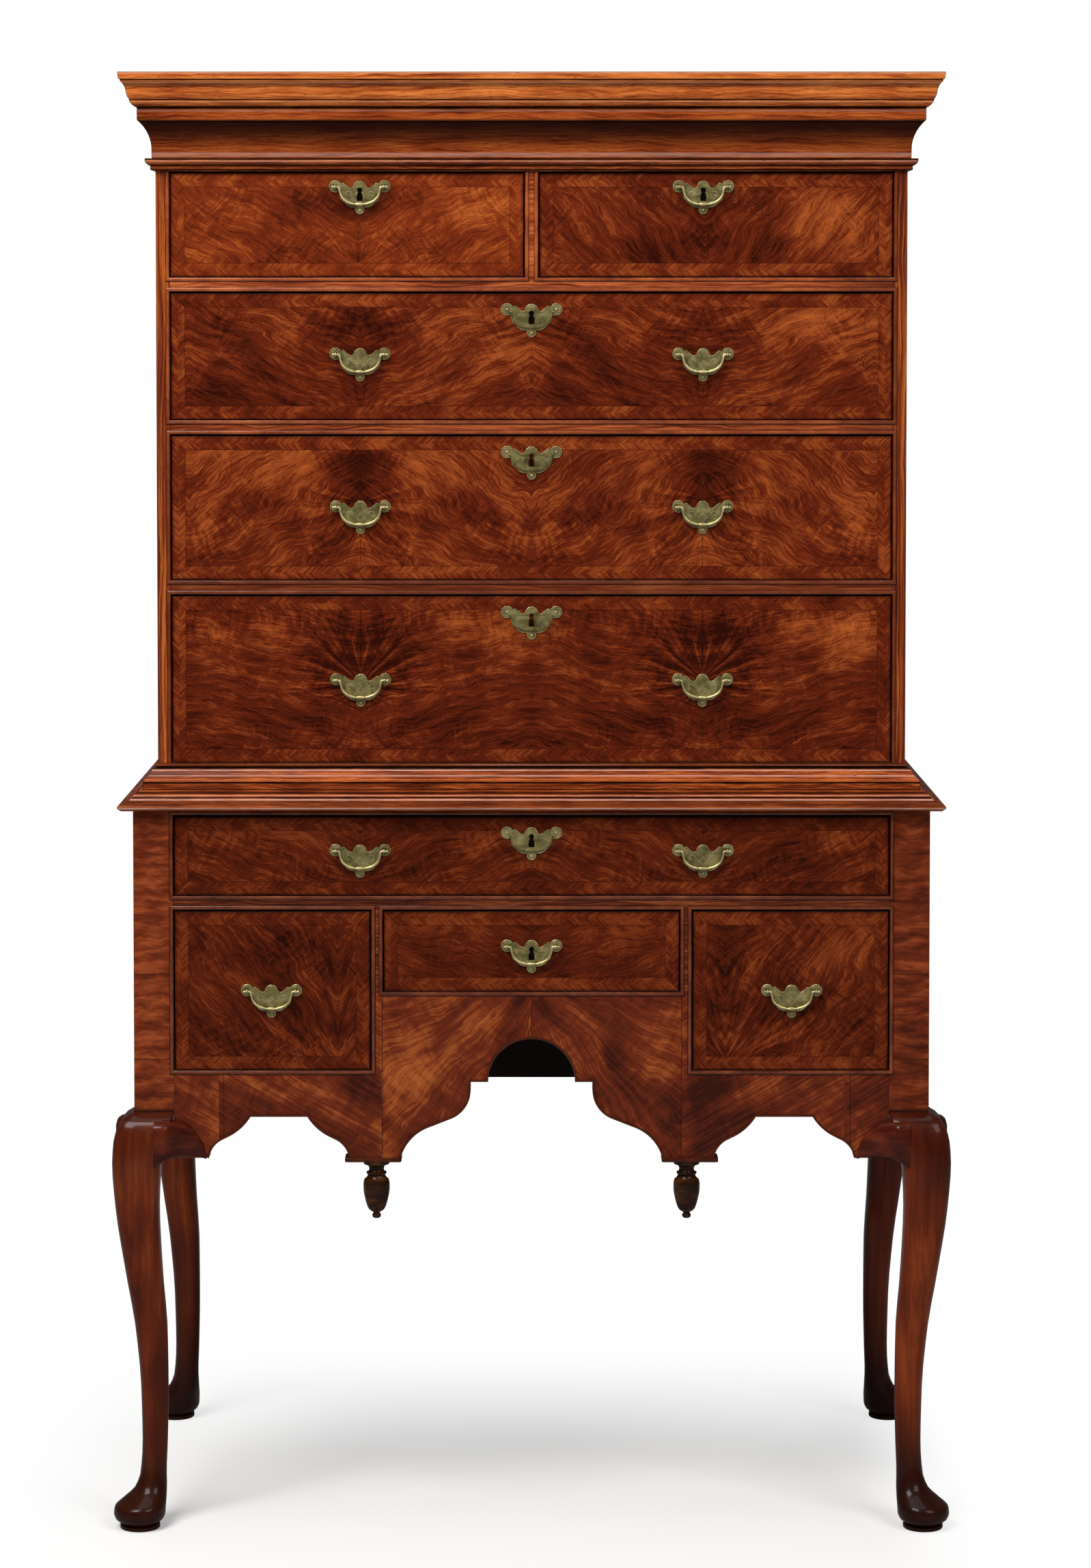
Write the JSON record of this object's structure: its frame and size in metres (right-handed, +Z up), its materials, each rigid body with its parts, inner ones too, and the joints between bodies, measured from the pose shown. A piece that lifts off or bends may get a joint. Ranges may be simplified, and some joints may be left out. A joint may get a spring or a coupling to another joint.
{
  "type": "highboy",
  "caption": "High chest of drawers in two cases, veneered fronts with brass bails, moulded cornice, scalloped apron with drop finials, cabriole legs with pad feet.",
  "frame": {"origin": "on the floor under the middle of the chest", "axes": "+Z up, -Y towards the front of the drawers, +X to the right seen from the front"},
  "size_m": [1.0074, 0.554, 1.748],
  "materials": {
    "moulding_walnut": "satin",
    "drawer_veneer": "satin",
    "apron_veneer": "satin",
    "case_walnut": "satin",
    "leg_walnut": "satin",
    "secondary_pine": "matte",
    "brass": "antique satin"
  },
  "bodies": {
    "root": {"crown_moulding": "moulding_walnut", "cove_moulding": "moulding_walnut", "neck_moulding": "moulding_walnut", "waist_moulding": "moulding_walnut", "bead_mouldings": "moulding_walnut", "upper_top_board": "secondary_pine", "upper_side_boards": "case_walnut", "upper_bottom_board": "secondary_pine", "upper_rails": "case_walnut", "back_boards": "secondary_pine", "drawer_runners": "secondary_pine", "lower_side_boards": "case_walnut", "lower_rails_and_partitions": "case_walnut", "front_apron": "apron_veneer", "knee_brackets": "leg_walnut", "drop_finials": "leg_walnut", "leg_front_left": "leg_walnut", "leg_front_right": "leg_walnut", "leg_back_left": "leg_walnut", "leg_back_right": "leg_walnut"},
    "top_left_drawer": {"top_left_drawer_front": "drawer_veneer", "top_left_drawer_box": "secondary_pine", "top_left_drawer_brasses": "brass"},
    "top_left_drawer_bail": {"top_left_drawer_bail": "brass"},
    "top_right_drawer": {"top_right_drawer_front": "drawer_veneer", "top_right_drawer_box": "secondary_pine", "top_right_drawer_brasses": "brass"},
    "top_right_drawer_bail": {"top_right_drawer_bail": "brass"},
    "fourth_drawer": {"fourth_drawer_front": "drawer_veneer", "fourth_drawer_box": "secondary_pine", "fourth_drawer_brasses": "brass"},
    "fourth_drawer_left_bail": {"fourth_drawer_left_bail": "brass"},
    "fourth_drawer_right_bail": {"fourth_drawer_right_bail": "brass"},
    "third_drawer": {"third_drawer_front": "drawer_veneer", "third_drawer_box": "secondary_pine", "third_drawer_brasses": "brass"},
    "third_drawer_left_bail": {"third_drawer_left_bail": "brass"},
    "third_drawer_right_bail": {"third_drawer_right_bail": "brass"},
    "second_drawer": {"second_drawer_front": "drawer_veneer", "second_drawer_box": "secondary_pine", "second_drawer_brasses": "brass"},
    "second_drawer_left_bail": {"second_drawer_left_bail": "brass"},
    "second_drawer_right_bail": {"second_drawer_right_bail": "brass"},
    "lower_long_drawer": {"lower_long_drawer_front": "drawer_veneer", "lower_long_drawer_box": "secondary_pine", "lower_long_drawer_brasses": "brass"},
    "lower_long_drawer_left_bail": {"lower_long_drawer_left_bail": "brass"},
    "lower_long_drawer_right_bail": {"lower_long_drawer_right_bail": "brass"},
    "lower_left_drawer": {"lower_left_drawer_front": "drawer_veneer", "lower_left_drawer_box": "secondary_pine", "lower_left_drawer_brasses": "brass"},
    "lower_left_drawer_bail": {"lower_left_drawer_bail": "brass"},
    "lower_center_drawer": {"lower_center_drawer_front": "drawer_veneer", "lower_center_drawer_box": "secondary_pine", "lower_center_drawer_brasses": "brass"},
    "lower_center_drawer_bail": {"lower_center_drawer_bail": "brass"},
    "lower_right_drawer": {"lower_right_drawer_front": "drawer_veneer", "lower_right_drawer_box": "secondary_pine", "lower_right_drawer_brasses": "brass"},
    "lower_right_drawer_bail": {"lower_right_drawer_bail": "brass"}
  },
  "joints": [
    {"name": "top_left_drawer_slide", "type": "slide", "parent": "root", "child": "top_left_drawer", "axis": [0, -1, 0], "range_m": [0, 0.34]},
    {"name": "top_left_drawer_bail_hinge", "type": "hinge", "parent": "top_left_drawer", "child": "top_left_drawer_bail", "pos_m": [-0.205, -0.2274, 1.6131], "axis": [-1, 0, 0], "range_deg": [0, 150]},
    {"name": "top_right_drawer_slide", "type": "slide", "parent": "root", "child": "top_right_drawer", "axis": [0, -1, 0], "range_m": [0, 0.34]},
    {"name": "top_right_drawer_bail_hinge", "type": "hinge", "parent": "top_right_drawer", "child": "top_right_drawer_bail", "pos_m": [0.205, -0.2274, 1.6131], "axis": [-1, 0, 0], "range_deg": [0, 150]},
    {"name": "fourth_drawer_slide", "type": "slide", "parent": "root", "child": "fourth_drawer", "axis": [0, -1, 0], "range_m": [0, 0.34]},
    {"name": "fourth_drawer_left_bail_hinge", "type": "hinge", "parent": "fourth_drawer", "child": "fourth_drawer_left_bail", "pos_m": [-0.205, -0.2274, 1.02281], "axis": [-1, 0, 0], "range_deg": [0, 150]},
    {"name": "fourth_drawer_right_bail_hinge", "type": "hinge", "parent": "fourth_drawer", "child": "fourth_drawer_right_bail", "pos_m": [0.205, -0.2274, 1.02281], "axis": [-1, 0, 0], "range_deg": [0, 150]},
    {"name": "third_drawer_slide", "type": "slide", "parent": "root", "child": "third_drawer", "axis": [0, -1, 0], "range_m": [0, 0.34]},
    {"name": "third_drawer_left_bail_hinge", "type": "hinge", "parent": "third_drawer", "child": "third_drawer_left_bail", "pos_m": [-0.205, -0.2274, 1.23069], "axis": [-1, 0, 0], "range_deg": [0, 150]},
    {"name": "third_drawer_right_bail_hinge", "type": "hinge", "parent": "third_drawer", "child": "third_drawer_right_bail", "pos_m": [0.205, -0.2274, 1.23069], "axis": [-1, 0, 0], "range_deg": [0, 150]},
    {"name": "second_drawer_slide", "type": "slide", "parent": "root", "child": "second_drawer", "axis": [0, -1, 0], "range_m": [0, 0.34]},
    {"name": "second_drawer_left_bail_hinge", "type": "hinge", "parent": "second_drawer", "child": "second_drawer_left_bail", "pos_m": [-0.205, -0.2274, 1.41342], "axis": [-1, 0, 0], "range_deg": [0, 150]},
    {"name": "second_drawer_right_bail_hinge", "type": "hinge", "parent": "second_drawer", "child": "second_drawer_right_bail", "pos_m": [0.205, -0.2274, 1.41342], "axis": [-1, 0, 0], "range_deg": [0, 150]},
    {"name": "lower_long_drawer_slide", "type": "slide", "parent": "root", "child": "lower_long_drawer", "axis": [0, -1, 0], "range_m": [0, 0.36]},
    {"name": "lower_long_drawer_left_bail_hinge", "type": "hinge", "parent": "lower_long_drawer", "child": "lower_long_drawer_left_bail", "pos_m": [-0.205, -0.2554, 0.82051], "axis": [-1, 0, 0], "range_deg": [0, 150]},
    {"name": "lower_long_drawer_right_bail_hinge", "type": "hinge", "parent": "lower_long_drawer", "child": "lower_long_drawer_right_bail", "pos_m": [0.205, -0.2554, 0.82051], "axis": [-1, 0, 0], "range_deg": [0, 150]},
    {"name": "lower_left_drawer_slide", "type": "slide", "parent": "root", "child": "lower_left_drawer", "axis": [0, -1, 0], "range_m": [0, 0.36]},
    {"name": "lower_left_drawer_bail_hinge", "type": "hinge", "parent": "lower_left_drawer", "child": "lower_left_drawer_bail", "pos_m": [-0.3115, -0.2554, 0.65168], "axis": [-1, 0, 0], "range_deg": [0, 150]},
    {"name": "lower_center_drawer_slide", "type": "slide", "parent": "root", "child": "lower_center_drawer", "axis": [0, -1, 0], "range_m": [0, 0.36]},
    {"name": "lower_center_drawer_bail_hinge", "type": "hinge", "parent": "lower_center_drawer", "child": "lower_center_drawer_bail", "pos_m": [0, -0.2554, 0.70555], "axis": [-1, 0, 0], "range_deg": [0, 150]},
    {"name": "lower_right_drawer_slide", "type": "slide", "parent": "root", "child": "lower_right_drawer", "axis": [0, -1, 0], "range_m": [0, 0.36]},
    {"name": "lower_right_drawer_bail_hinge", "type": "hinge", "parent": "lower_right_drawer", "child": "lower_right_drawer_bail", "pos_m": [0.3115, -0.2554, 0.65168], "axis": [-1, 0, 0], "range_deg": [0, 150]}
  ]
}
